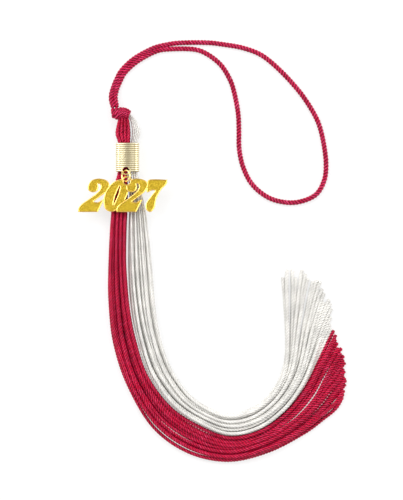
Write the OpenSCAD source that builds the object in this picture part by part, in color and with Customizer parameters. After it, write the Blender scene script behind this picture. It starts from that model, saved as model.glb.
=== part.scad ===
// Two-colour graduation tassel with a crimped band, a jump ring and a year charm.
// It lies on its back: +Y runs up towards the hanging cord, +Z is the front.

/* [Strands] */
// Diameter of one twisted strand in the skirt
strand_d = 1.25; // [1.1:0.05:1.3]
// Strands on each side, the crimson side and the white side
strands_per_side = 19; // [19:1:19]
// Cross-sections along each strand
strand_rings = 26; // [22:1:32]

/* [Hanging cord] */
// Diameter of the hanging cord
cord_d = 1.8; // [1.4:0.1:1.8]
// Cross-sections along the hanging cord
cord_rings = 80; // [60:1:80]

/* [Band] */
// Width of the band across the strands
band_w = 10.3; // [10.3:0.1:11]
// Depth of the band from back to front
band_t = 7.8; // [7.8:0.1:8.4]
// Length of the band along the strands
band_l = 12.6; // [11:0.1:14]
// Number of ribs pressed into the band
band_ribs = 15; // [9:2:17]

/* [Jump ring] */
// Mean radius of the ring
ring_r = 2.4; // [2.3:0.1:2.6]
// Diameter of the ring's wire
ring_wire_d = 0.75; // [0.6:0.05:0.75]
// Tilt of the ring, its right side forward
ring_tilt = 42; // [40:1:44]

/* [Charm] */
// Thickness of the charm at its raised rims
charm_t = 1.3; // [1.1:0.1:1.4]
// Depth of the matt faces below the rims
face_drop = 0.35; // [0.2:0.05:0.4]
// Width of the polished rims
rim_w = 0.45; // [0.35:0.05:0.5]
// Radius of the holes that the ring runs through
eyelet_hole_r = 1.5; // [1.4:0.05:1.5]

/* [Hidden] */
strand_names = [
    for (side = ["crimson", "white"]) for (i = [1 : strands_per_side])
        str(side, "_strand_", i < 10 ? "0" : "", i)
];
tube_sides = 8;
eps = 0.01;

// Stations across the strands: [left edge, seam, right edge, height of the lowest strand's underside].
// Each edge is [x, y]. They run from the knot, through the band, down the skirt and round to its ends.
stations = [
    [[-4.6, 16.6], [1.0, 16.6], [3.4, 16.6], 0.9],
    [[-5.3, 13.6], [1.5, 13.6], [5.2, 13.6], 0.7],
    [[-5.6, 10.4], [1.6, 10.4], [5.6, 10.4], 0.5],
    [[-4.35, 6.5], [1.3, 6.5], [4.35, 6.5], 0.95],
    [[-4.35, 0], [0.7, 0], [4.35, 0], 0.95],
    [[-4.35, -6.5], [0, -6.5], [4.35, -6.5], 0.8],
    [[-5.8, -12], [0.2, -12], [5.7, -12], 0.02],
    [[-7.2, -22], [0.2, -22], [7.9, -22], 0.02],
    [[-8.2, -34], [-0.2, -34], [9.6, -34], 0.02],
    [[-8.9, -50], [-0.1, -50], [11, -50], 0.02],
    [[-8.5, -66], [1.2, -66], [12.1, -65], 0.02],
    [[-6.5, -82], [4, -80.5], [14.4, -79], 0.02],
    [[-0.6, -100], [9.2, -96], [19.2, -92.7], 0.02],
    [[10.5, -118.7], [19.5, -109.8], [27.2, -104.2], 0.02],
    [[26, -130], [32.5, -118.2], [36.6, -110.4], 0.02],
    [[44, -134], [45, -122.6], [45, -112.4], 0.02],
    [[62, -130], [58, -119.8], [53.8, -110.4], 0.02],
    [[78, -121.8], [69.5, -111.6], [62, -104.2], 0.02],
    [[87, -115.2], [78, -101], [67.4, -95.4], 0.02],
    [[91, -112], [83.6, -90], [69.4, -84], 0.02],
    [[93, -109.6], [87, -83], [69, -66], 0.02],
    [[94.3, -107.4], [89.8, -77.5], [67.6, -48.2], 0.02]
];
// How far the middle strands' ends stand past the straight line between the edge strands' ends
end_bulge = [[3.6, 0.6], [6.2, 5.8]];
// Layers in the pile, and how far apart in it neighbouring strands lie
layers = 5;
layer_step = 2;
layer_margin = 1.06;
// Gap kept along the seam between the two colours
seam_gap = 0.3;
// The lowest strands clear the surface by this much
floor_gap = 0.02;

// The hanging cord's route: out of the knot, round the loop and back beside itself, [x, y, z].
cord_route = [
    [-6.2, 21.95, 3.2], [-7.1, 25, 2.7], [-7.1, 28, 1.9], [-6.2, 31.3, 1.1], [-5, 34.3, 0.92],
    [-2.6, 38.6, 0.92], [3, 43.8, 0.92], [11.1, 48.2, 0.92], [17.1, 49.8, 0.92], [23.2, 50.6, 0.92],
    [34.9, 50.7, 0.92], [42.9, 49.8, 0.92], [51, 48.3, 0.92], [59.1, 45.1, 0.92], [67.1, 38.5, 0.92],
    [75.2, 29.7, 0.92], [80.7, 21.8, 0.92], [84.3, 14.6, 0.92], [86.4, 6, 0.92], [87.4, -2.6, 0.92],
    [86.6, -10, 0.92], [82.8, -16.4, 0.92], [75, -19.6, 0.92], [67, -19.3, 0.92], [60.3, -16.6, 0.92],
    [54.4, -11.2, 0.92], [50.7, -3.7, 0.92], [49.1, 4.2, 0.92], [49, 12, 0.92], [48.6, 20, 0.92],
    [46.7, 29.7, 0.92], [44.6, 35.3, 0.92], [40.9, 41, 0.92], [34.9, 45.7, 0.92], [28.7, 47.8, 0.92],
    [17.5, 47.8, 0.92], [11.8, 46.3, 0.92], [4.3, 42.2, 0.92], [-1, 37.4, 0.92], [-3.4, 33, 0.92],
    [-4.5, 30.2, 1.2], [-5.2, 26.6, 2.2], [-4.7, 22.05, 3.2]
];

// The knot is a row of turns round a core, along +X
knot_y = 19.35;
knot_z = 3.2;
knot_r = 2.55;
knot_left_x = -7.15;
left_turns = 2;
right_turns = 5;
right_turn_d = 1;
right_turn_slant = 14;

// Band
band_wall = 0.45;
rib_h = 0.2;
rib_w = 0.5;
band_corner_r = 1.9;
bore_corner_r = 1;
back_seam_w = 0.25;
back_seam_x = 2.6;
front_wall_z = band_t - rib_h - band_wall / 2;
lug_r = eyelet_hole_r + 0.6;

// Ring: its top runs through the band's lug and its foot through the charm's eyelet
ring_centre = [-0.6, -8.2, front_wall_z];
ring_split_w = 0.12;
eyelet_angle = -75;
lug_at = ring_centre + [0, ring_r, 0];
eyelet_at = ring_centre
    + [cos(eyelet_angle) * cos(ring_tilt), sin(eyelet_angle), cos(eyelet_angle) * sin(ring_tilt)] * ring_r;
eyelet_r = eyelet_hole_r + 0.6;
eyelet_t = 0.5;
digit_samples = 5;

// ---- curves ----
function clamp_index(n, i) = max(0, min(n - 1, i));
function catmull(a, b, c, d, t) =
    0.5 * (2 * b + (c - a) * t + (2 * a - 5 * b + 4 * c - d) * t * t + (3 * b - a - 3 * c + d) * t * t * t);
function along(points, u) =
    let (n = len(points), i = min(n - 2, floor(u)))
    catmull(points[clamp_index(n, i - 1)], points[i], points[i + 1], points[clamp_index(n, i + 2)], u - i);
function unit(v) = v / norm(v);

// A closed tube through a list of [centre, radius], its rings square to the path
module tube(rings) {
    n = len(rings);
    centres = [for (ring = rings) ring[0]];
    directions = [for (j = [0 : n - 1])
        unit(centres[min(n - 1, j + 1)] - centres[max(0, j - 1)])];
    up = [0, 0, 1];
    walls = [for (j = [0 : n - 1])
        let (side = unit(cross(directions[j], up)), top = cross(side, directions[j]))
        for (a = [0 : tube_sides - 1])
            centres[j] + rings[j][1] * (cos(360 * a / tube_sides) * side + sin(360 * a / tube_sides) * top)];
    quads = [for (j = [0 : n - 2]) for (a = [0 : tube_sides - 1])
        let (b = (a + 1) % tube_sides, low = j * tube_sides, high = low + tube_sides)
        [[low + a, low + b, high + b], [low + a, high + b, high + a]]];
    ends = [[for (a = [tube_sides - 1 : -1 : 0]) a],
        [for (a = [0 : tube_sides - 1]) (n - 1) * tube_sides + a]];
    polyhedron(points = walls, faces = concat([for (pair = quads) for (face = pair) face], ends));
}

// ---- strands ----
left_edge = [for (s = stations) s[0]];
seam = [for (s = stations) s[1]];
right_edge = [for (s = stations) s[2]];
underside = [for (s = stations) s[3]];
last_station = len(stations) - 1;
end_spread_from = last_station - 2;

function side_edges(side, u) =
    let (a = along(side == 0 ? left_edge : seam, u),
        b = along(side == 0 ? seam : right_edge, u),
        gap = unit(b - a) * seam_gap / 2)
    side == 0 ? [a, b - gap] : [a + gap, b];
// Strands press thinner where the knot and the band gather them
function packed_d(width) = min(strand_d, 0.98 * layers * width / (strands_per_side - 1 + layers));
function layer_gap(d, pitch) = layer_margin
    * max(sqrt(max(0, d * d - 4 * pitch * pitch)), sqrt(max(0, d * d - pitch * pitch)) / 2);
function end_reach(side, t, u) =
    let (w = max(0, (u - end_spread_from) / 2))
    end_bulge[side] * (4 * t * (1 - t) * w * w);
function strand_xy(side, i, d, u) =
    let (edges = side_edges(side, u), across = edges[1] - edges[0], width = norm(across),
        t = i / (strands_per_side - 1))
    edges[0] + across * ((d / 2 + t * (width - d)) / width) + end_reach(side, t, u);
function strand_ring(side, i, u) =
    let (edges = side_edges(side, u),
        ahead = strand_xy(side, i, strand_d, min(last_station, u + 0.1)),
        behind = strand_xy(side, i, strand_d, max(0, u - 0.1)),
        square = abs(cross(unit(edges[1] - edges[0]), unit(ahead - behind))),
        width = square * norm(edges[1] - edges[0]),
        d = packed_d(width),
        pitch = (width - d) / (strands_per_side - 1),
        layer = (layer_step * i) % layers,
        at = strand_xy(side, i, d, u),
        z = max(floor_gap, along(underside, u)) + d / 2 + layer * layer_gap(d, pitch))
    [[at[0], at[1], z], d / 2];

module strand(side, i) {
    tube([for (j = [0 : strand_rings - 1]) strand_ring(side, i, last_station * j / (strand_rings - 1))]);
}

module crimson_strand(i) {
    color("crimson") strand(0, i);
}

module white_strand(i) {
    color("ivory") strand(1, i);
}

// ---- hanging cord and its knot ----
module hanging_cord() {
    last = len(cord_route) - 1;
    color("crimson")
        tube([for (j = [0 : cord_rings - 1]) [along(cord_route, last * j / (cord_rings - 1)), cord_d / 2]]);
}

module turn(x, d, slant) {
    translate([x, knot_y, knot_z]) rotate([0, 0, slant]) rotate([0, 90, 0])
        rotate_extrude($fn = 48) translate([knot_r - d / 2, 0]) circle(d = d, $fn = 24);
}

module knot_left_turns() {
    color("crimson") for (k = [0 : left_turns - 1])
        turn(knot_left_x + cord_d * (k + 0.5), cord_d - eps, 0);
}

right_turns_x = knot_left_x + cord_d * left_turns + 0.55;
module knot_right_turns() {
    color("crimson") for (k = [0 : right_turns - 1])
        turn(right_turns_x + 0.5 + k * right_turn_d / cos(right_turn_slant), right_turn_d - eps,
            -right_turn_slant);
}

module knot_core() {
    core_r = knot_r - cord_d - 0.05;
    core_l = cord_d * left_turns + right_turns * right_turn_d;
    color("firebrick") translate([knot_left_x + 0.6, knot_y, knot_z]) rotate([0, 90, 0])
        cylinder(r = core_r, h = core_l - 0.8, $fn = 32);
}

// ---- band ----
module rounded_section(w, t, r) {
    square([w - 2 * r, t], center = true);
    square([w, t - 2 * r], center = true);
    for (x = [-1, 1]) for (y = [-1, 1])
        translate([x * (w / 2 - r), y * (t / 2 - r)]) circle(r = r, $fn = 32);
}

module band_slice(y, length, w, t, r) {
    translate([0, y + length / 2, band_t / 2]) rotate([90, 0, 0])
        linear_extrude(length) rounded_section(w, t, r);
}

module band_lug() {
    translate([lug_at[0], lug_at[1], front_wall_z - band_wall / 2]) cylinder(r = lug_r, h = band_wall, $fn = 48);
}

module band() {
    sleeve_w = band_w - 2 * rib_h;
    sleeve_t = band_t - 2 * rib_h;
    rib_pitch = (band_l - rib_w) / (band_ribs - 1);
    color("gold") difference() {
        union() {
            band_slice(0, band_l, sleeve_w, sleeve_t, band_corner_r - rib_h);
            for (k = [0 : band_ribs - 1])
                band_slice((k - (band_ribs - 1) / 2) * rib_pitch, rib_w, band_w, band_t, band_corner_r);
            band_lug();
        }
        band_slice(0, band_l + 1, sleeve_w - 2 * band_wall, sleeve_t - 2 * band_wall, bore_corner_r);
        translate([back_seam_x, -band_l, -1]) cube([back_seam_w, 2 * band_l, 2]);
        translate([lug_at[0], lug_at[1], front_wall_z - 1]) cylinder(r = eyelet_hole_r, h = 3, $fn = 48);
    }
}

// ---- jump ring ----
module jump_ring() {
    color("gold") translate(ring_centre) rotate([0, -ring_tilt, 0]) difference() {
        rotate_extrude($fn = 64) translate([ring_r, 0]) circle(d = ring_wire_d, $fn = 24);
        rotate([0, 0, 20]) translate([0, -ring_split_w / 2, -1]) cube([2 * ring_r, ring_split_w, 2]);
    }
}

// ---- charm ----
// Digits are closed outlines in a cell whose foot is y = 0. A point given twice is a corner.
two_outline = [
    [0.8, 0], [8.8, 0], [8.8, 0], [11.2, 5], [11, 5.5], [10.2, 5.1], [8.6, 4.3], [6.9, 4.6], [6.9, 4.6],
    [9.6, 6.6], [12.6, 9], [13.9, 11.7], [12.6, 13.9], [9.2, 14.7], [6, 13.9], [4.4, 11.5], [4.7, 9.4],
    [6.6, 8.6], [8.5, 9.4], [9, 11], [8.8, 12.2], [9.7, 12.1], [9.9, 10.6], [8.9, 8.9], [5.5, 6.2],
    [1.6, 3.5], [0.2, 1.7], [0.1, 0.5]
];
zero_outline = [
    [3.6, 0], [6.6, 1.6], [9.6, 5.4], [11, 9.8], [10.2, 13.1], [7.6, 14.2], [4.1, 12.8], [1.2, 9.2],
    [0, 4.8], [0.8, 1.2]
];
zero_slit = [[4.4, 3.4], [4.8, 3.7], [6.5, 7.6], [7.3, 10.8], [7, 11], [5.3, 7.2]];
seven_outline = [
    [2.6, 0], [4.5, 1.8], [5.3, 5.8], [7.3, 9.6], [9.8, 12.3], [10.1, 14.2], [10.1, 14.2], [2.1, 14.2],
    [1.3, 11.6], [0.9, 9.2], [1.5, 8.6], [3.3, 9.4], [4.6, 9.2], [2.8, 6.9], [0.8, 4], [0.7, 1.2]
];
// Each digit: [outline, where its cell starts, the digits whose rims run over it]
digits = [
    [two_outline, [-21.6, -24.1], [1]],
    [zero_outline, [-10.4, -24], [2]],
    [two_outline, [-4.8, -24.1], []],
    [seven_outline, [7.5, -24.1], [2]]
];

function closed_curve(points) =
    let (n = len(points))
    [for (i = [0 : n - 1])
        let (a = points[(i + n - 1) % n], b = points[i], c = points[(i + 1) % n], d = points[(i + 2) % n])
        if (b != c) for (k = [0 : digit_samples - 1])
            catmull(a == b ? b : a, b, c, c == d ? c : d, k / digit_samples)];
// The same curve moved inwards, without the loops at its sharp corners; outlines run anticlockwise
function inset_curve(points, by) =
    let (n = len(points))
    [for (i = [0 : n - 1])
        let (way = unit(points[(i + 1) % n] - points[(i + n - 1) % n]),
            moved = points[i] + by * [-way[1], way[0]])
        if (min([for (point = points) norm(moved - point)]) > 0.95 * abs(by)) moved];

module digit_shape(outline, inset) {
    curve = closed_curve(outline);
    polygon(inset == 0 ? curve : inset_curve(curve, inset));
}

module charm_faces() {
    linear_extrude(charm_t - face_drop) difference() {
        union() for (digit = digits) translate(digit[1]) digit_shape(digit[0], 0);
        translate(digits[1][1]) polygon(closed_curve(zero_slit));
    }
}

module charm_rims() {
    linear_extrude(charm_t) {
        for (digit = digits) difference() {
            translate(digit[1]) digit_shape(digit[0], 0);
            translate(digit[1]) digit_shape(digit[0], rim_w);
            for (k = digit[2]) translate(digits[k][1]) digit_shape(digits[k][0], 0);
        }
        translate(digits[1][1]) difference() {
            polygon(inset_curve(closed_curve(zero_slit), -rim_w));
            polygon(closed_curve(zero_slit));
        }
    }
}

module charm() {
    color("goldenrod") difference() {
        union() {
            translate([0, 0, eyelet_at[2] - charm_t / 2]) difference() {
                union() {
                    charm_faces();
                    charm_rims();
                }
                translate([eyelet_at[0], eyelet_at[1], -1]) cylinder(r = eyelet_r, h = charm_t + 2, $fn = 48);
            }
            translate([eyelet_at[0], eyelet_at[1], eyelet_at[2] - eyelet_t / 2])
                cylinder(r = eyelet_r + eps, h = eyelet_t, $fn = 48);
        }
        translate([eyelet_at[0], eyelet_at[1], eyelet_at[2] - 2])
            cylinder(r = eyelet_hole_r, h = 4, $fn = 48);
    }
}

band();
jump_ring();
charm();
hanging_cord();
knot_left_turns();
knot_right_turns();
knot_core();
for (i = [0 : strands_per_side - 1]) {
    crimson_strand(i);
    white_strand(i);
}
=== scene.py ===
"""Graduation tassel: twisted silk strands, ribbed gold band, jump ring and year charm."""
import math
import random

import bmesh
import bpy
from mathutils import Matrix, Vector


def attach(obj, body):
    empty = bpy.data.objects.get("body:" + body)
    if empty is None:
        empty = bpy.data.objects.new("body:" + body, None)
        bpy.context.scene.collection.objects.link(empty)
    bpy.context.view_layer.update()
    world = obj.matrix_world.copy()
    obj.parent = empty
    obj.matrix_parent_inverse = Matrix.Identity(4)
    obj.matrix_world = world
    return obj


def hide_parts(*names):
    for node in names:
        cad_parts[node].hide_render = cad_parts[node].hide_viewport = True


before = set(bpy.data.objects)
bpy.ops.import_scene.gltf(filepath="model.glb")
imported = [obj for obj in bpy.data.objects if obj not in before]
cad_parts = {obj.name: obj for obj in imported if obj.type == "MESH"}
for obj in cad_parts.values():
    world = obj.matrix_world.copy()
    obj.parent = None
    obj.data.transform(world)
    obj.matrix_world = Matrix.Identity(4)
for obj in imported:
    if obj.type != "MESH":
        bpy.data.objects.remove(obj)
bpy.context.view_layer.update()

MM = 0.001
TAU = 2 * math.pi
BODY = {"yarn": "tassel", "ring": "jump_ring", "charm": "charm"}
UV_NAME = "along_and_round"
PLIES = 3
GROOVE_SHARPNESS = 1.7
BLUNT_END = 0.7


# ---------------------------------------------------------------- small geometry
def catmull(a, b, c, d, t):
    """A point between b and c on the smooth curve through all four."""
    return 0.5 * (2 * b + (c - a) * t + (2 * a - 5 * b + 4 * c - d) * t * t
                  + (3 * b - a - 3 * c + d) * t * t * t)


def along(points, u):
    """The smooth curve through points, at u in stations."""
    last = len(points) - 1
    i = min(last - 1, int(u))
    pick = [points[max(0, min(last, k))] for k in (i - 1, i, i + 1, i + 2)]
    return catmull(*pick, u - i)


def resample(points, step):
    """The same path in equal steps, with its ends kept."""
    lengths = [0.0]
    for a, b in zip(points, points[1:]):
        lengths.append(lengths[-1] + (b - a).length)
    count = max(2, round(lengths[-1] / step))
    out, k = [], 0
    for j in range(count + 1):
        s = lengths[-1] * j / count
        while k < len(points) - 2 and lengths[k + 1] < s:
            k += 1
        span = lengths[k + 1] - lengths[k]
        out.append(points[k].lerp(points[k + 1], (s - lengths[k]) / span if span else 0))
    return out, lengths[-1]


def placed_piece(name, mesh, body):
    """A named piece with this mesh, riding on a body."""
    piece = bpy.data.objects.new(name, mesh)
    bpy.context.collection.objects.link(piece)
    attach(piece, body)
    return piece


def mesh_piece(name, body, material, verts, faces, uvs=None):
    """A smooth piece on a body, from plain vertices and faces, with a UV for each vertex."""
    mesh = bpy.data.meshes.new(name)
    mesh.from_pydata(verts, [], faces)
    mesh.materials.append(material)
    if uvs:
        layer = mesh.uv_layers.new(name=UV_NAME)
        for loop in mesh.loops:
            layer.data[loop.index].uv = uvs[loop.vertex_index]
    mesh.polygons.foreach_set("use_smooth", [True] * len(mesh.polygons))
    mesh.update()
    return placed_piece(name, mesh, body)


def frames_along(path):
    """Side and top directions at each point of a path, carried along without twisting."""
    headings = [(path[min(len(path) - 1, j + 1)] - path[max(0, j - 1)]).normalized()
                for j in range(len(path))]
    side = headings[0].cross(Vector((0, 0, 1)))
    if side.length < 0.1:
        side = headings[0].cross(Vector((1, 0, 0)))
    side.normalize()
    out = []
    for heading in headings:
        side = (side - heading * side.dot(heading)).normalized()
        out.append((side, heading.cross(side)))
    return out


def ply_radius(angle, depth):
    """Radius of a rope of round plies at an angle, as a part of its full radius."""
    near = abs((angle * PLIES / TAU) % 1 - 0.5) * 2
    return 1 - depth * (1 - near) ** GROOVE_SHARPNESS


def rope(name, path, radius_at, material, lay, sides, rings_per_turn, depth, phase=0.0):
    """A twisted rope along a path in mm, one turn in each lay. radius_at takes the part gone by."""
    points, length = resample(path, lay / rings_per_turn)
    count = len(points)
    verts, uvs, faces = [], [], []
    for j, (point, (side, top)) in enumerate(zip(points, frames_along(points))):
        gone = j / (count - 1)
        turn = phase + TAU * gone * length / lay
        size = radius_at(gone) * (BLUNT_END if j in (0, count - 1) else 1)
        for a in range(sides):
            angle = TAU * a / sides
            r = size * ply_radius(angle, depth)
            way = math.cos(angle + turn) * side + math.sin(angle + turn) * top
            verts.append((point + way * r) * MM)
            uvs.append((gone * length, a / sides))
    for j in range(count - 1):
        for a in range(sides):
            b = (a + 1) % sides
            low, high = j * sides, (j + 1) * sides
            faces.append((low + a, low + b, high + b, high + a))
    for base, flip in ((0, True), ((count - 1) * sides, False)):
        ring = [base + a for a in range(sides)]
        faces.append(tuple(reversed(ring)) if flip else tuple(ring))
    piece = mesh_piece(name, BODY["yarn"], material, verts, faces, uvs)
    return piece, points, length


# ---------------------------------------------------------------- camera
def make_camera():
    """Straight down on the tassel, as it lies."""
    lens, sensor, view_height, above_floor = 150, 36, 220, 3
    data = bpy.data.cameras.new("camera")
    data.lens = lens
    data.sensor_width = sensor
    data.clip_start = 0.01
    camera = bpy.data.objects.new("camera", data)
    bpy.context.collection.objects.link(camera)
    height = view_height * lens / sensor + above_floor
    camera.location = Vector((32.5, -40.7, height)) * MM
    bpy.context.scene.camera = camera


make_camera()


# ---------------------------------------------------------------- shader helpers
def feed(tree, socket, source):
    """Link a socket to another socket, or set it to a value."""
    if isinstance(source, bpy.types.NodeSocket):
        tree.links.new(source, socket)
    else:
        socket.default_value = source


def node(tree, kind, inputs=None, **properties):
    """A node with its properties set and its inputs linked or set."""
    made = tree.nodes.new(kind)
    for key, value in properties.items():
        setattr(made, key, value)
    for key, source in (inputs or {}).items():
        feed(tree, made.inputs[key], source)
    return made


def math_node(tree, operation, *sources):
    """What one Math node gives."""
    return node(tree, "ShaderNodeMath", dict(enumerate(sources)), operation=operation).outputs[0]


def ramp(tree, value, low, high, at_low=0.0, at_high=1.0):
    """A value carried from low..high to at_low..at_high, and held at the ends."""
    inputs = {0: value, 1: low, 2: high, 3: at_low, 4: at_high}
    return node(tree, "ShaderNodeMapRange", inputs).outputs[0]


def mix_colour(tree, factor, a, b):
    """Colour a where the factor is 0, and b where it is 1."""
    return node(tree, "ShaderNodeMix", {0: factor, 6: a, 7: b}, data_type="RGBA").outputs[2]


def shared_group(name, inputs, outputs):
    """An empty node group with named inputs and outputs."""
    tree = bpy.data.node_groups.new(name, "ShaderNodeTree")
    for label, kind, value in inputs:
        socket = tree.interface.new_socket(label, in_out="INPUT", socket_type=kind)
        socket.default_value = value
    for label, kind in outputs:
        tree.interface.new_socket(label, in_out="OUTPUT", socket_type=kind)
    return tree, tree.nodes.new("NodeGroupInput"), tree.nodes.new("NodeGroupOutput")


def place_group(tree, group, inputs):
    """A shared group placed in a material with its own values."""
    return node(tree, "ShaderNodeGroup", inputs, node_tree=group)


def principled(name, **values):
    """A material with one Principled shader, its uniform values set on its own sockets."""
    material = bpy.data.materials.new(name)
    material.use_nodes = True
    tree = material.node_tree
    shader = tree.nodes["Principled BSDF"]
    for key, value in values.items():
        shader.inputs[key.replace("_", " ")].default_value = value
    return material, tree, shader


def srgb(r, g, b):
    """A colour written as 0 to 255, in linear light."""
    def linear(c):
        c /= 255
        return c / 12.92 if c <= 0.04045 else ((c + 0.055) / 1.055) ** 2.4
    return (linear(r), linear(g), linear(b), 1)


# ---------------------------------------------------------------- yarn and cord finish
def make_fibre_group():
    """Fine fibres that run along the plies, and the shade between plies, from the strand's UV."""
    tree, given, put = shared_group(
        "silk fibres",
        [("Plies", "NodeSocketFloat", float(PLIES)), ("Fibre Scale", "NodeSocketFloat", 26.0)],
        [("Crest", "NodeSocketFloat"), ("Fibre", "NodeSocketFloat"), ("Patch", "NodeSocketFloat")])
    uv = node(tree, "ShaderNodeUVMap", uv_map=UV_NAME).outputs[0]
    split = node(tree, "ShaderNodeSeparateXYZ", {0: uv})
    turns = math_node(tree, "MULTIPLY", split.outputs[1], given.outputs["Plies"])
    wave = math_node(tree, "COSINE", math_node(tree, "MULTIPLY", turns, TAU))
    crest = math_node(tree, "MULTIPLY_ADD", wave, 0.5, 0.5)
    across = math_node(tree, "MULTIPLY", split.outputs[1], given.outputs["Fibre Scale"])
    lean = math_node(tree, "MULTIPLY_ADD", split.outputs[0], 1.4, across)
    stretched = math_node(tree, "MULTIPLY", split.outputs[0], 0.35)
    place = node(tree, "ShaderNodeCombineXYZ", {0: stretched, 1: lean})
    streak = node(tree, "ShaderNodeTexNoise", {"Vector": place.outputs[0], "Scale": 1.0, "Detail": 3.0})
    where = node(tree, "ShaderNodeTexCoord").outputs["Object"]
    patch = node(tree, "ShaderNodeTexNoise", {"Vector": where, "Scale": 160.0, "Detail": 1.0})
    tree.links.new(crest, put.inputs["Crest"])
    tree.links.new(streak.outputs[0], put.inputs["Fibre"])
    tree.links.new(patch.outputs[0], put.inputs["Patch"])
    return tree


def silk(name, painted_ply_shade, body, crest, sheen_tint):
    """Shiny rayon yarn: painted shade between its plies, and a painted highlight where the fibres catch the
    light.
    """
    material, tree, shader = principled(
        name, Roughness=0.42, Sheen_Weight=0.03, Sheen_Roughness=0.4,
        Sheen_Tint=sheen_tint, Specular_IOR_Level=0.14)
    fibre = place_group(tree, FIBRES, {"Plies": float(PLIES)})
    clear_of_painted_shade = ramp(tree, fibre.outputs["Crest"], 0.0, 0.55)
    painted_fibre_highlight = ramp(tree, fibre.outputs["Fibre"], 0.5, 0.66)
    # Painted shade: the dark groove colour is laid down between the plies, where shade falls.
    base = mix_colour(tree, clear_of_painted_shade, painted_ply_shade, body)
    # Painted highlight: the pale crest colour goes on the fibre streaks that sit out of the grooves.
    lit = math_node(tree, "MULTIPLY", painted_fibre_highlight, clear_of_painted_shade)
    colour = mix_colour(tree, math_node(tree, "MULTIPLY", lit, 0.7), base, crest)
    tone = ramp(tree, fibre.outputs["Patch"], 0.3, 0.7, 0.86, 1.08)
    toned = node(tree, "ShaderNodeHueSaturation", {"Color": colour, "Value": tone})
    bump = node(tree, "ShaderNodeBump", {
        "Height": fibre.outputs["Fibre"], "Strength": 0.5, "Distance": 0.08 * MM})
    feed(tree, shader.inputs["Base Color"], toned.outputs[0])
    feed(tree, shader.inputs["Normal"], bump.outputs[0])
    return material


FIBRES = make_fibre_group()
PINK_SHEEN, WHITE_SHEEN = (1, 0.55, 0.7, 1), (1, 1, 1, 1)
# Colours in order: painted shade between plies, the yarn's own colour, painted highlight on the fibres,
# then the sheen tint.
CRIMSON = silk("crimson yarn", srgb(84, 0, 14), srgb(206, 0, 56), srgb(255, 96, 150), PINK_SHEEN)
CORD_RED = silk("crimson cord", srgb(70, 0, 14), srgb(186, 0, 58), srgb(255, 100, 156), PINK_SHEEN)
WHITE = silk("white yarn", srgb(214, 212, 207), srgb(234, 232, 227), srgb(248, 246, 243), WHITE_SHEEN)

# ---------------------------------------------------------------- hanging cord
CORD_D = 1.8
CORD_FULLNESS = 1.34
CORD_LIFT = Vector((0, 0, 0.3))
CORD_ROUTE = [Vector(p) for p in (
    (-6.2, 21.95, 3.2), (-7.1, 25, 2.7), (-7.1, 28, 1.9), (-6.2, 31.3, 1.1), (-5, 34.3, 0.92),
    (-2.6, 38.6, 0.92), (3, 43.8, 0.92), (11.1, 48.2, 0.92), (17.1, 49.8, 0.92), (23.2, 50.6, 0.92),
    (34.9, 50.7, 0.92), (42.9, 49.8, 0.92), (51, 48.3, 0.92), (59.1, 45.1, 0.92), (67.1, 38.5, 0.92),
    (75.2, 29.7, 0.92), (80.7, 21.8, 0.92), (84.3, 14.6, 0.92), (86.4, 6, 0.92), (87.4, -2.6, 0.92),
    (86.6, -10, 0.92), (82.8, -16.4, 0.92), (75, -19.6, 0.92), (67, -19.3, 0.92), (60.3, -16.6, 0.92),
    (54.4, -11.2, 0.92), (50.7, -3.7, 0.92), (49.1, 4.2, 0.92), (49, 12, 0.92), (48.6, 20, 0.92),
    (46.7, 29.7, 0.92), (44.6, 35.3, 0.92), (40.9, 41, 0.92), (34.9, 45.7, 0.92), (28.7, 47.8, 0.92),
    (17.5, 47.8, 0.92), (11.7, 46.55, 0.92), (4.15, 42.4, 0.92), (-1.2, 37.55, 0.92), (-3.6, 33.1, 0.92),
    (-4.75, 30.2, 1.2), (-5.4, 26.6, 2.2), (-4.7, 22.05, 3.2))]


def path_points(stations, step=0.1):
    """Close points on the smooth curve through the stations."""
    last = len(stations) - 1
    return [along(stations, min(last, k * step)) for k in range(round(last / step) + 1)]


def make_hanging_cord():
    """The doubled cord out of the knot, opening into the long loop."""
    path = [p + CORD_LIFT for p in path_points(CORD_ROUTE)]
    cord, points, length = rope(
        "hanging_cord_twist", path, lambda gone: CORD_D / 2 * CORD_FULLNESS, CORD_RED,
        lay=4.3, sides=21, rings_per_turn=12, depth=0.38)
    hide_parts("hanging_cord")


make_hanging_cord()

# ---------------------------------------------------------------- strands
STRAND_D = 1.25
PER_SIDE = 19
LAYERS = 5
SEAM_GAP = 0.3
FLOOR_GAP = 0.02
LAYER_STEP = 2
LAYER_MARGIN = 1.06
PACKING = 0.98
THINNEST = 0.34
# How thick a strand is drawn: all along, and what is added once it is free and near its end
FULLNESS, FREE_FULLNESS, LOW_FULLNESS = 1.1, 0.14, 0.28
# The stations from which strands stray, fill out and gather into clumps, and how soon they do
FREE_FROM, FULL_FROM, CLUMP_FROM, EASE = 7, 13, 18, 4
# How far in slots strands may stray: those of the lowest layers, and the others
LOW_REACH, HIGH_REACH = 0.3, 1.3
CLUMP = 3
CLUMP_PULL = 0.12
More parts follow.
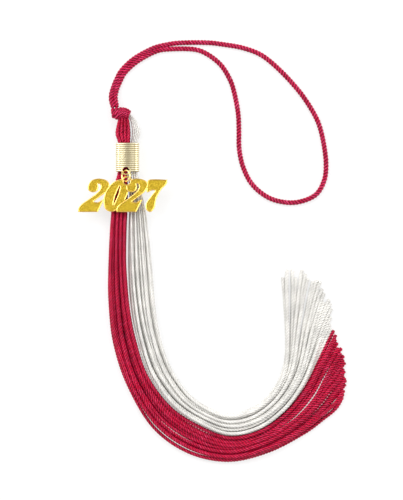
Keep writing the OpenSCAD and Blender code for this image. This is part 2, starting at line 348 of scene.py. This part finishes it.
# Stations across the strands: left edge, seam, right edge and the height of the lowest strand
STATIONS = [
    ((-3.4, 18.8), (-0.6, 18.8), (1.3, 18.8), 2.2),
    ((-4.6, 16.6), (1.0, 16.6), (3.4, 16.6), 0.4),
    ((-5.3, 13.6), (1.5, 13.6), (5.2, 13.6), 0.7),
    ((-5.6, 10.4), (1.6, 10.4), (5.6, 10.4), 0.5),
    ((-4.35, 6.5), (1.3, 6.5), (4.35, 6.5), 0.95),
    ((-4.35, 0), (0.7, 0), (4.35, 0), 0.95),
    ((-4.35, -6.5), (0, -6.5), (4.35, -6.5), 0.8),
    ((-5.8, -12), (0.2, -12), (5.7, -12), 0.02),
    ((-7.2, -22), (0.2, -22), (7.9, -22), 0.02),
    ((-8.2, -34), (-0.2, -34), (9.6, -34), 0.02),
    ((-8.9, -50), (-0.1, -50), (11, -50), 0.02),
    ((-8.5, -66), (1.2, -66), (12.1, -65), 0.02),
    ((-6.5, -82), (4, -80.5), (14.4, -79), 0.02),
    ((-0.6, -100), (9.2, -96), (19.2, -92.7), 0.02),
    ((10.5, -118.7), (19.5, -109.8), (27.2, -104.2), 0.02),
    ((26, -130), (32.5, -118.2), (36.6, -110.4), 0.02),
    ((44, -134), (45, -122.6), (45, -112.4), 0.02),
    ((62, -130), (58, -119.8), (53.8, -110.4), 0.02),
    ((78, -121.8), (69.5, -111.6), (62, -104.2), 0.02),
    ((87, -115.2), (78, -101), (67.4, -95.4), 0.02),
    ((91, -112), (83.6, -90), (69.4, -84), 0.02),
    ((93, -109.6), (87, -83), (69, -66), 0.02),
    ((95.2, -105.2), (90.9, -74.8), (67.3, -45.4), 0.02)]
END_BULGE = (Vector((3.6, 0.6)), Vector((6.2, 5.8)))
LAST = len(STATIONS) - 1
EDGES = [[Vector(s[k]) for s in STATIONS] for k in range(3)]
UNDERSIDE = [s[3] for s in STATIONS]


def side_edges(side, u):
    """The two edges of one colour's row of strands."""
    a, b = along(EDGES[side], u), along(EDGES[side + 1], u)
    gap = (b - a).normalized() * SEAM_GAP / 2
    return (a, b - gap) if side == 0 else (a + gap, b)


def strand_xy(side, t, d, u):
    """Where a strand is in its row, seen from above. t runs from 0 to 1 across the row."""
    a, b = side_edges(side, u)
    width = (b - a).length
    reach = max(0, (u - LAST + 2) / 2)
    bulge = END_BULGE[side] * (4 * t * (1 - t) * reach ** 2)
    return a + (b - a) * ((d / 2 + t * (width - d)) / width) + bulge


def strand_point(side, i, u, stray):
    """The middle of a strand and its diameter there. stray shifts it along the row, in slots."""
    t = max(0, min(1, (i + stray) / (PER_SIDE - 1)))
    a, b = side_edges(side, u)
    ahead = strand_xy(side, t, STRAND_D, min(LAST, u + 0.1))
    behind = strand_xy(side, t, STRAND_D, max(0, u - 0.1))
    heading = (ahead - behind).normalized()
    across = (b - a).normalized()
    width = abs(across.cross(heading)) * (b - a).length
    d = min(STRAND_D, PACKING * LAYERS * width / (PER_SIDE - 1 + LAYERS))
    pitch = (width - d) / (PER_SIDE - 1)
    over_next = math.sqrt(max(0, d * d - 4 * pitch * pitch))
    over_second = math.sqrt(max(0, d * d - pitch * pitch)) / 2
    rise = LAYER_MARGIN * max(over_next, over_second)
    xy = strand_xy(side, t, d, u)
    z = max(FLOOR_GAP, along(UNDERSIDE, u)) + d / 2 + (LAYER_STEP * i % LAYERS) * rise
    return Vector((xy.x, xy.y, z)), d


def eased(u, start):
    """0 as far as the start station, then rising to 1."""
    return max(0, min(1, (u - start) / EASE))


def make_strand(side, i, rng):
    """One twisted strand, from under the knot, through the band, to its own bare end."""
    name = ("crimson", "white")[side] + "_strand_%02d" % (i + 1)
    reach = LOW_REACH if LAYER_STEP * i % LAYERS < 2 else HIGH_REACH
    wander = reach * rng.uniform(0.6, 1.2)
    turns = rng.uniform(1.2, 2.6)
    start = rng.uniform(0, TAU)
    trim = CLUMP_TRIM[side][i // CLUMP] + rng.uniform(0, 0.2)
    clump = (i // CLUMP + 0.5) * CLUMP - 0.5 - i
    path, sizes = [], []
    steps = 220
    for k in range(steps + 1):
        u = (LAST - trim) * k / steps
        free, tip = eased(u, FREE_FROM), eased(u, CLUMP_FROM) ** 2
        sway = wander * math.sin(start + turns * TAU * u / LAST)
        point, d = strand_point(side, i, u, free * (1 - tip) * sway + CLUMP_PULL * tip * clump)
        fullness = FULLNESS + FREE_FULLNESS * free + LOW_FULLNESS * eased(u, FULL_FROM)
        size = max(THINNEST, d / 2) * fullness
        point.z = max(point.z, size + 0.01)
        path.append(point)
        sizes.append(size)
    piece, points, length = rope(
        name + "_yarn", path, lambda gone: sizes[round(gone * steps)], (CRIMSON, WHITE)[side],
        lay=4.0, sides=12, rings_per_turn=9, depth=0.42,
        phase=rng.uniform(0, TAU))
    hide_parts(name)


rng = random.Random(7)
CLUMP_TRIM = [[rng.uniform(0, 0.26) for _ in range(PER_SIDE // CLUMP + 1)] for _ in range(2)]
for side in (0, 1):
    for i in range(PER_SIDE):
        make_strand(side, i, rng)


# ---------------------------------------------------------------- knot
KNOT_Z = 4.0
KNOT_RISE = 1.22
TURN_STEPS, TURN_OVERLAP, TURN_SHIFT = 64, 1.04, 0.12
# Each turn of the knot: x, y of its middle, its outer radius, its cord and its lean in degrees
KNOT_TURNS = [
    (-6.2, 19.45, 2.35, 1.8, 4), (-4.75, 19.3, 2.75, 1.8, -2), (-3.35, 19.5, 2.6, 1.5, -9),
    (-2.3, 19.5, 2.6, 1.2, -15), (-1.35, 19.4, 2.5, 1.2, -18), (-0.4, 19.2, 2.3, 1.2, -21),
    (0.45, 18.9, 1.95, 1.1, -24)]


def turn_path(x, y, radius, slant):
    """One turn round the knot's core, from its underside round to its underside."""
    lean = Matrix.Rotation(math.radians(slant), 3, "Z")
    out = []
    for k in range(TURN_STEPS + 1):
        angle = -math.pi / 2 + TURN_OVERLAP * TAU * k / TURN_STEPS
        spot = Vector((TURN_SHIFT * (2 * k / TURN_STEPS - 1), radius * math.cos(angle),
                       KNOT_RISE * radius * math.sin(angle)))
        out.append(Vector((x, y, KNOT_Z)) + lean @ spot)
    return out


def make_knot():
    """Seven turns in a row, over a core."""
    for k, (x, y, radius, d, slant) in enumerate(KNOT_TURNS):
        piece, _, _ = rope("knot_turn_%d" % (k + 1), turn_path(x, y, radius - d / 2, slant),
                           lambda gone: d / 2 * 1.1, CORD_RED, lay=3.6 * d / 1.5, sides=21,
                           rings_per_turn=16, depth=0.34, phase=k * 0.9)
        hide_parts("knot_left_turns" if k < 2 else "knot_right_turns")
    middle = [Vector((x, y, KNOT_Z)) for x, y, _, _, _ in KNOT_TURNS]
    core, _, _ = rope("knot_core_cord", path_points(middle),
                      lambda gone: 0.75 + 0.8 * math.sin(math.pi * gone), CORD_RED,
                      lay=3.6, sides=21, rings_per_turn=16, depth=0.34)
    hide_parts("knot_core")


make_knot()


# ---------------------------------------------------------------- metal finish
WEAR_SCALE = 400.0
WEAR_RELIEF = 0.012


def make_wear_group():
    """Faint unevenness of plated metal: clouding and fine scratches."""
    tree, given, put = shared_group(
        "plating wear", [("Scale", "NodeSocketFloat", WEAR_SCALE)],
        [("Cloud", "NodeSocketFloat"), ("Scratch", "NodeSocketFloat")])
    where = node(tree, "ShaderNodeTexCoord").outputs["Object"]
    cloud = node(tree, "ShaderNodeTexNoise", {
        "Vector": where, "Scale": given.outputs[0], "Detail": 4.0})
    stretch = node(tree, "ShaderNodeMapping", {"Vector": where, "Scale": (1.6, 0.6, 1.0)})
    scratch = node(tree, "ShaderNodeTexNoise", {
        "Vector": stretch.outputs[0], "Scale": given.outputs[0], "Detail": 6.0, "Roughness": 0.7})
    tree.links.new(cloud.outputs[0], put.inputs["Cloud"])
    tree.links.new(scratch.outputs[0], put.inputs["Scratch"])
    return tree


WEAR = make_wear_group()


def finish_metal(tree, shader, colour, gloss, relief):
    """Colour, gloss and relief fed to a metal's shader."""
    feed(tree, shader.inputs["Base Color"], colour)
    feed(tree, shader.inputs["Roughness"], gloss)
    feed(tree, shader.inputs["Normal"], relief.outputs[0])


def plated(name, low, high, smooth, rough):
    """Plated metal whose colour and gloss vary slightly over its surface."""
    material, tree, shader = principled(name, Metallic=1.0)
    wear = place_group(tree, WEAR, {"Scale": WEAR_SCALE})
    colour = mix_colour(tree, wear.outputs["Cloud"], low, high)
    gloss = ramp(tree, wear.outputs["Scratch"], 0.3, 0.7, smooth, rough)
    relief = node(tree, "ShaderNodeBump", {
        "Height": wear.outputs["Scratch"], "Strength": WEAR_RELIEF, "Distance": 0.05 * MM})
    finish_metal(tree, shader, colour, gloss, relief)
    return material


def glitter(name, low, high):
    """Matt stamped gold broken up into fine sparkling grains."""
    material, tree, shader = principled(name, Metallic=0.9)
    where = node(tree, "ShaderNodeTexCoord").outputs["Object"]
    grain = node(tree, "ShaderNodeTexVoronoi", {"Vector": where, "Scale": 3600.0})
    tone = node(tree, "ShaderNodeSeparateColor", {0: grain.outputs["Color"]})
    colour = mix_colour(tree, tone.outputs[0], low, high)
    gloss = ramp(tree, tone.outputs[1], 0.0, 1.0, 0.3, 0.65)
    relief = node(tree, "ShaderNodeBump", {
        "Height": tone.outputs[2], "Strength": 0.6, "Distance": 0.06 * MM})
    finish_metal(tree, shader, colour, gloss, relief)
    return material


def ribbed_gold():
    """Champagne plating with painted shade down in the grooves between the ribs."""
    material = plated("champagne gold", srgb(248, 236, 196), srgb(255, 248, 218), 0.16, 0.3)
    tree = material.node_tree
    shader = tree.nodes["Principled BSDF"]
    plating = shader.inputs["Base Color"].links[0].from_socket
    uv = node(tree, "ShaderNodeUVMap", uv_map=UV_NAME).outputs[0]
    height = node(tree, "ShaderNodeSeparateXYZ", {0: uv}).outputs[0]
    # Painted shade: a darker gold in the grooves between the ribs, where shade falls.
    painted_rib_shade = mix_colour(tree, ramp(tree, height, 0.25, 0.8), srgb(172, 146, 90), plating)
    feed(tree, shader.inputs["Base Color"], painted_rib_shade)
    return material


BAND_GOLD = ribbed_gold()
RING_GOLD = plated("bright gold", srgb(248, 220, 134), srgb(255, 236, 170), 0.1, 0.22)
RIM_GOLD = plated("polished rim gold", srgb(248, 204, 96), srgb(255, 228, 140), 0.12, 0.26)
FACE_GOLD = glitter("matt sparkling gold", srgb(158, 130, 22), srgb(212, 182, 58))

# ---------------------------------------------------------------- band
BAND_W, BAND_T, BAND_L = 10.3, 7.8, 12.6
BAND_WALL, RIB_H, RIBS = 0.45, 0.2, 15
SECTIONS_PER_RIB, RIB_FLATNESS = 10, 0.4
BAND_CORNER, BORE_CORNER = 1.9, 1.0
CROWN = 0.32
SEAM_X, SEAM_W = 2.6, 0.25
WALL_Z = BAND_T - RIB_H - BAND_WALL / 2
RING_AT = Vector((-0.6, -8.2, WALL_Z))
RING_R, RING_WIRE, RING_TILT = 2.4, 0.75, math.radians(42)
HOLE_R = 1.5
TAB_R = HOLE_R + 0.6
HOLE_CUT_DEPTH = 3
LUG_AT = RING_AT + Vector((0, RING_R, 0))
EYELET_ANGLE = math.radians(-75)
EYELET_AT = RING_AT + RING_R * Vector((
    math.cos(EYELET_ANGLE) * math.cos(RING_TILT), math.sin(EYELET_ANGLE),
    math.cos(EYELET_ANGLE) * math.sin(RING_TILT)))


def open_section(width, depth, corner, count=20):
    """A rounded section open at the back seam, from the seam's left lip round to its right lip."""
    x, z = width / 2 - corner, depth / 2 - corner
    left_lip, right_lip = SEAM_X - SEAM_W / 2, SEAM_X + SEAM_W / 2
    out = [(left_lip + (-x - left_lip) * k / count, -depth / 2) for k in range(count)]
    centres = ((-x, -z, 270), (-x, z, 180), (x, z, 90), (x, -z, 0))
    for index, (cx, cz, start) in enumerate(centres):
        for k in range(13):
            angle = math.radians(start - 90 * k / 12)
            out.append((cx + corner * math.cos(angle), cz + corner * math.sin(angle)))
        if index == 1:
            out += [(-x + 2 * x * k / count, depth / 2 + CROWN * math.sin(math.pi * k / count))
                    for k in range(1, count)]
    out += [(x + (right_lip - x) * k / 4, -depth / 2) for k in range(1, 5)]
    return out


def make_band():
    """The ribbed sleeve, open down its back seam."""
    sections = RIBS * SECTIONS_PER_RIB
    inner = open_section(BAND_W - 2 * (RIB_H + BAND_WALL),
                         BAND_T - 2 * (RIB_H + BAND_WALL) - CROWN, BORE_CORNER)
    verts, faces, uvs = [], [], []
    for j in range(sections + 1):
        y = -BAND_L / 2 + BAND_L * j / sections
        swell = RIB_H * (0.5 - 0.5 * math.cos(TAU * RIBS * j / sections)) ** RIB_FLATNESS
        grow = 2 * (swell - RIB_H)
        outer = open_section(BAND_W + grow, BAND_T + grow - CROWN, BAND_CORNER)
        for x, z in outer + inner[::-1]:
            verts.append(Vector((x, y, z + (BAND_T - CROWN) / 2)) * MM)
            uvs.append((swell / RIB_H, y))
    row = len(verts) // (sections + 1)
    for j in range(sections):
        for a in range(row):
            b = (a + 1) % row
            faces.append((j * row + a, j * row + b, (j + 1) * row + b, (j + 1) * row + a))
    top = sections * row
    for a in range(row // 2 - 1):
        b = row - 1 - a
        faces.append((a + 1, a, b, b - 1))
        faces.append((top + a, top + a + 1, top + b - 1, top + b))
    band = mesh_piece("band_sleeve", BODY["yarn"], BAND_GOLD, verts, faces, uvs)
    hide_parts("band")
    return band


def lathe(name, body, material, centre, profile, sides=72, sweep=TAU, start=0.0, turn=None):
    """A closed outline of (radius, height) turned about an axis, part way or right round."""
    whole = sweep >= TAU
    count = sides if whole else sides + 1
    verts, faces = [], []
    for j in range(count):
        angle = start + sweep * j / sides
        for r, z in profile:
            spot = Vector((r * math.cos(angle), r * math.sin(angle), z))
            verts.append((centre + (turn @ spot if turn else spot)) * MM)
    n = len(profile)
    for j in range(sides):
        for a in range(n):
            b = (a + 1) % n
            k = (j + 1) % count
            faces.append((j * n + a, k * n + a, k * n + b, j * n + b))
    if not whole:
        faces.append(tuple(range(n)))
        faces.append(tuple(reversed(range(sides * n, sides * n + n))))
    return mesh_piece(name, body, material, verts, faces)


def washer_profile(inside, outside, thick, round_by):
    """The rounded outline of a washer's section."""
    far, near, rise = outside - round_by, inside + round_by, thick / 2 - round_by
    out = []
    for cx, cz, start in ((far, rise, 90), (near, rise, 180), (near, -rise, 270), (far, -rise, 360)):
        for k in range(5):
            angle = math.radians(start - 90 + 90 * k / 4)
            out.append((cx + round_by * math.cos(angle), cz + round_by * math.sin(angle)))
    return out


def apply_modifiers(piece):
    """The piece's mesh as its modifiers leave it."""
    graph = bpy.context.evaluated_depsgraph_get()
    final = bpy.data.meshes.new_from_object(piece.evaluated_get(graph))
    old = piece.data
    piece.modifiers.clear()
    piece.data = final
    bpy.data.meshes.remove(old)


def cut_hole(piece, centre, radius):
    """A round hole cut through a piece along Z."""
    mesh = bpy.data.meshes.new("cutter")
    work = bmesh.new()
    bmesh.ops.create_cone(work, cap_ends=True, segments=48, radius1=radius * MM, radius2=radius * MM,
                          depth=HOLE_CUT_DEPTH * MM, matrix=Matrix.Translation(centre * MM))
    work.to_mesh(mesh)
    work.free()
    cutter = bpy.data.objects.new("cutter", mesh)
    bpy.context.collection.objects.link(cutter)
    cut = piece.modifiers.new("hole", "BOOLEAN")
    cut.operation = "DIFFERENCE"
    cut.object = cutter
    apply_modifiers(piece)
    bpy.data.objects.remove(cutter)
    bpy.data.meshes.remove(mesh)


cut_hole(make_band(), LUG_AT, HOLE_R)
tab = lathe("band_tab", BODY["yarn"], RING_GOLD, LUG_AT,
            washer_profile(HOLE_R, TAB_R, BAND_WALL, 0.12))
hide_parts("band")


# ---------------------------------------------------------------- jump ring
def make_jump_ring():
    """Round wire bent into a ring, with a fine gap where its ends meet."""
    split = math.radians(20)
    half_gap = 0.06 / RING_R
    wire = RING_WIRE / 2
    section = [(RING_R + wire * math.cos(TAU * k / 20), wire * math.sin(TAU * k / 20)) for k in range(20)]
    ring = lathe("ring_wire", BODY["ring"], RING_GOLD, RING_AT, section, sides=120,
                 sweep=TAU - 2 * half_gap, start=split + half_gap, turn=Matrix.Rotation(-RING_TILT, 3, "Y"))
    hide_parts("jump_ring")


make_jump_ring()

# ---------------------------------------------------------------- charm
CHARM_T, FACE_DROP, RIM_W = 1.3, 0.35, 0.5
RIM_ROUNDING, RIM_DEPTH = 0.8, 0.2
# Each outline runs anticlockwise in its own cell, foot at y = 0; a point given twice is a corner
TWO = [
    (0.8, 0), (8.8, 0), (8.8, 0), (11.2, 5), (11, 5.5), (10.2, 5.1), (8.6, 4.3), (6.9, 4.6), (6.9, 4.6),
    (9.6, 6.6), (12.6, 9), (13.9, 11.7), (12.6, 13.9), (9.2, 14.7), (6, 13.9), (4.4, 11.5), (4.7, 9.4),
    (6.6, 8.6), (8.5, 9.4), (9, 11), (8.8, 12.2), (9.7, 12.1), (9.9, 10.6), (8.9, 8.9), (5.5, 6.2),
    (1.6, 3.5), (0.2, 1.7), (0.1, 0.5)]
ZERO = [
    (3.6, 0), (6.6, 1.6), (9.6, 5.4), (11, 9.8), (10.2, 13.1), (7.6, 14.2), (4.1, 12.8), (1.2, 9.2),
    (0, 4.8), (0.8, 1.2)]
ZERO_SLIT = [(4.4, 3.4), (4.8, 3.7), (6.5, 7.6), (7.3, 10.8), (7, 11), (5.3, 7.2)]
SEVEN = [
    (2.6, 0), (4.5, 1.8), (5.3, 5.8), (7.3, 9.6), (9.8, 12.3), (10.1, 14.2), (10.1, 14.2), (2.1, 14.2),
    (1.3, 11.6), (0.9, 9.2), (1.5, 8.6), (3.3, 9.4), (4.6, 9.2), (2.8, 6.9), (0.8, 4), (0.7, 1.2)]
# Each digit: name, outline, its cell's place, the digits that lie over it, and its own level
DIGITS = [
    ("first_two", TWO, (-21.6, -24.1), (1,), 0.0),
    ("zero", ZERO, (-10.4, -24.0), (2,), 0.03),
    ("second_two", TWO, (-4.8, -24.1), (), 0.06),
    ("seven", SEVEN, (7.5, -24.1), (2,), 0.02)]
EYELET_R = HOLE_R + 0.6
OUTLINE_SAMPLES = 8


def closed_curve(points):
    """The smooth closed curve through points, with its corners kept."""
    points = [Vector(p) for p in points]
    n = len(points)
    out = []
    for i in range(n):
        a, b, c, d = points[i - 1], points[i], points[(i + 1) % n], points[(i + 2) % n]
        if b != c:
            ends = (b if a == b else a, b, c, c if c == d else d)
            out += [catmull(*ends, k / OUTLINE_SAMPLES) for k in range(OUTLINE_SAMPLES)]
    return out


def moved_in(points, by):
    """The outline moved inwards, without the loops at its sharp corners."""
    n = len(points)
    out = []
    for i in range(n):
        way = (points[(i + 1) % n] - points[i - 1]).normalized()
        spot = points[i] + by * Vector((-way.y, way.x))
        if min((spot - p).length for p in points) > 0.95 * abs(by):
            out.append(spot)
    return out


def inside(point, outline):
    """Whether a point is inside a closed outline."""
    hit = False
    for a, b in zip(outline, outline[1:] + outline[:1]):
        if (a.y > point.y) != (b.y > point.y):
            crossing = a.x + (b.x - a.x) * (point.y - a.y) / (b.y - a.y)
            hit = hit != (point.x < crossing)
    return hit


def in_cell(outline, cell):
    """A digit's smooth outline at its place on the charm."""
    return [p + Vector(cell) for p in closed_curve(outline)]


def make_plate(name, outline, level, slit=None):
    """A digit's plate: matt face on top, polished sides and back."""
    work = bmesh.new()
    low, high = EYELET_AT.z - CHARM_T / 2, EYELET_AT.z + CHARM_T / 2 - FACE_DROP + level
    walls = []
    for points in (outline, slit) if slit else (outline,):
        foot, head = ([work.verts.new((p.x * MM, p.y * MM, z * MM)) for p in points] for z in (low, high))
        walls.append((foot, head))
        for i in range(len(points)):
            k = (i + 1) % len(points)
            work.faces.new((foot[i], foot[k], head[k], head[i]))
    for loops in zip(*walls):
        edges = [work.edges.get((loop[i - 1], loop[i])) for loop in loops for i in range(len(loop))]
        bmesh.ops.triangle_fill(work, use_beauty=True, use_dissolve=False, edges=edges)
    bmesh.ops.recalc_face_normals(work, faces=work.faces)
    mesh = bpy.data.meshes.new(name)
    for material in (RIM_GOLD, FACE_GOLD):
        mesh.materials.append(material)
    work.to_mesh(mesh)
    work.free()
    for face in mesh.polygons:
        face.material_index = 1 if face.normal.z > 0.9 else 0
    piece = placed_piece(name, mesh, BODY["charm"])
    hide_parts("charm")
    return piece


def open_runs(points, keep):
    """The closed outline's stretches whose points are kept."""
    flags = [keep(p) for p in points]
    if all(flags):
        return [points + points[:1]]
    first = flags.index(False)
    order = points[first:] + points[:first]
    marks = flags[first:] + flags[:first]
    runs, run = [], []
    for point, mark in zip(order, marks):
        if mark:
            run.append(point)
        elif run:
            runs.append(run)
            run = []
    if run:
        runs.append(run)
    return [r for r in runs if len(r) > 3]


def make_rim(name, path, level):
    """A rounded raised rim along a digit's edge."""
    closed = (path[0] - path[-1]).length < 1e-6
    spine = path[:-1] if closed else path
    n = len(spine)
    top = EYELET_AT.z + CHARM_T / 2 + level * 0.3
    foot = EYELET_AT.z - RIM_DEPTH
    half = RIM_W / 2
    crown = RIM_ROUNDING * half
    section = [(-half, foot)]
    for k in range(9):
        angle = math.pi * k / 8
        section.append((-half * math.cos(angle), top - crown + crown * math.sin(angle)))
    section.append((half, foot))
    verts, faces = [], []
    for j, p in enumerate(spine):
        ahead = spine[(j + 1) % n] if closed or j < n - 1 else p
        behind = spine[j - 1] if closed or j > 0 else p
        way = (ahead - behind).normalized()
        for x, z in section:
            verts.append(Vector((p.x + way.y * x, p.y - way.x * x, z)) * MM)
    m = len(section)
    for j in range(n if closed else n - 1):
        for a in range(m):
            b, k = (a + 1) % m, (j + 1) % n
            faces.append((j * m + a, j * m + b, k * m + b, k * m + a))
    if not closed:
        faces.append(tuple(reversed(range(m))))
        faces.append(tuple(range((n - 1) * m, n * m)))
    piece = mesh_piece(name, BODY["charm"], RIM_GOLD, verts, faces)
    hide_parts("charm")


def make_charm():
    """Four joined digits with raised rims, hung from an eyelet."""
    outlines = [in_cell(outline, cell) for _, outline, cell, _, _ in DIGITS]
    eyelet = Vector((EYELET_AT.x, EYELET_AT.y))
    for index, (name, _, cell, covers, level) in enumerate(DIGITS):
        slit = in_cell(ZERO_SLIT, cell) if name == "zero" else None
        plate = make_plate("charm_" + name, outlines[index], level, slit)
        if min((p - eyelet).length for p in outlines[index]) < EYELET_R + 0.5:
            cut_hole(plate, EYELET_AT, EYELET_R - 0.05)

        def shows(p):
            return (p - eyelet).length > EYELET_R and not any(inside(p, outlines[k]) for k in covers)
        for k, run in enumerate(open_runs(moved_in(outlines[index], RIM_W / 2), shows)):
            make_rim("charm_%s_rim_%d" % (name, k + 1), run, level)
        if slit:
            edge = moved_in(slit, -RIM_W / 2)
            make_rim("charm_zero_slit_rim", edge + edge[:1], level)
    ring = lathe("charm_eyelet", BODY["charm"], RIM_GOLD, EYELET_AT,
                 washer_profile(HOLE_R, EYELET_R + 0.1, 0.5, 0.2))
    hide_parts("charm")


make_charm()


# ---------------------------------------------------------------- floor, world and lamps
def make_floor():
    """A white floor that keeps the tassel's soft shadow."""
    material = bpy.data.materials.new("white floor")
    material.use_nodes = True
    tree = material.node_tree
    tree.nodes.clear()
    cloud = node(tree, "ShaderNodeTexNoise", {"Scale": 3.0, "Detail": 2.0})
    tint = mix_colour(tree, cloud.outputs[0], (0.93, 0.93, 0.93, 1), (0.96, 0.96, 0.96, 1))
    lit = node(tree, "ShaderNodeBsdfDiffuse", {"Color": tint})
    glow = node(tree, "ShaderNodeEmission", {"Color": (1, 1, 1, 1), "Strength": 1.0})
    path = node(tree, "ShaderNodeLightPath")
    seen = math_node(tree, "MAXIMUM", path.outputs["Is Camera Ray"], path.outputs["Is Glossy Ray"])
    part = math_node(tree, "MULTIPLY", seen, 0.7)
    both = node(tree, "ShaderNodeMixShader", {0: part, 1: lit.outputs[0], 2: glow.outputs[0]})
    put = node(tree, "ShaderNodeOutputMaterial")
    tree.links.new(both.outputs[0], put.inputs[0])
    half = 3.0
    corners = [(-half, -half, 0), (half, -half, 0), (half, half, 0), (-half, half, 0)]
    mesh = bpy.data.meshes.new("floor")
    mesh.from_pydata(corners, [], [(0, 1, 2, 3)])
    mesh.materials.append(material)
    floor = bpy.data.objects.new("floor", mesh)
    bpy.context.collection.objects.link(floor)


def make_world():
    """White behind everything, even soft light, and a dim strip for polished metal to mirror."""
    world = bpy.data.worlds.new("studio")
    bpy.context.scene.world = world
    world.use_nodes = True
    tree = world.node_tree
    tree.nodes.clear()
    path = node(tree, "ShaderNodeLightPath")
    seen = math_node(tree, "MAXIMUM", path.outputs["Is Camera Ray"], path.outputs["Is Transmission Ray"])
    where = node(tree, "ShaderNodeTexCoord").outputs["Generated"]
    sideways = math_node(tree, "ABSOLUTE", node(tree, "ShaderNodeSeparateXYZ", {0: where}).outputs[0])
    overhead = ramp(tree, sideways, 0.14, 0.24, 1.0, 0.0)
    gloss = mix_colour(tree, overhead, (1.15, 1.15, 1.13, 1), (0.52, 0.5, 0.47, 1))
    sky = mix_colour(tree, path.outputs["Is Glossy Ray"], (0.45, 0.45, 0.45, 1), gloss)
    plain = node(tree, "ShaderNodeBackground", {"Color": sky, "Strength": 1.0})
    white = node(tree, "ShaderNodeBackground", {"Color": (1, 1, 1, 1), "Strength": 1.0})
    both = node(tree, "ShaderNodeMixShader", {0: seen, 1: plain.outputs[0], 2: white.outputs[0]})
    put = node(tree, "ShaderNodeOutputWorld")
    tree.links.new(both.outputs[0], put.inputs[0])


def make_lamp(name, place, size, power, shows_in_metal=True):
    """A soft rectangular lamp that faces the middle of the tassel."""
    data = bpy.data.lights.new(name, "AREA")
    data.shape = "RECTANGLE"
    data.size, data.size_y = size
    data.energy = power
    lamp = bpy.data.objects.new(name, data)
    bpy.context.collection.objects.link(lamp)
    lamp.location = place
    aim = Vector((0.03, -0.04, 0)) - Vector(place)
    lamp.visible_glossy = shows_in_metal
    lamp.rotation_euler = aim.to_track_quat("-Z", "Y").to_euler()


make_floor()
make_world()
make_lamp("left softbox", (-0.55, 0.25, 0.55), (0.5, 0.7), 5.2)
make_lamp("right softbox", (0.7, 0.1, 0.6), (0.4, 0.7), 4.0)
make_lamp("high softbox", (0.1, 0.7, 0.9), (0.8, 0.4), 4.6, shows_in_metal=False)

bpy.context.scene.view_settings.view_transform = "Standard"
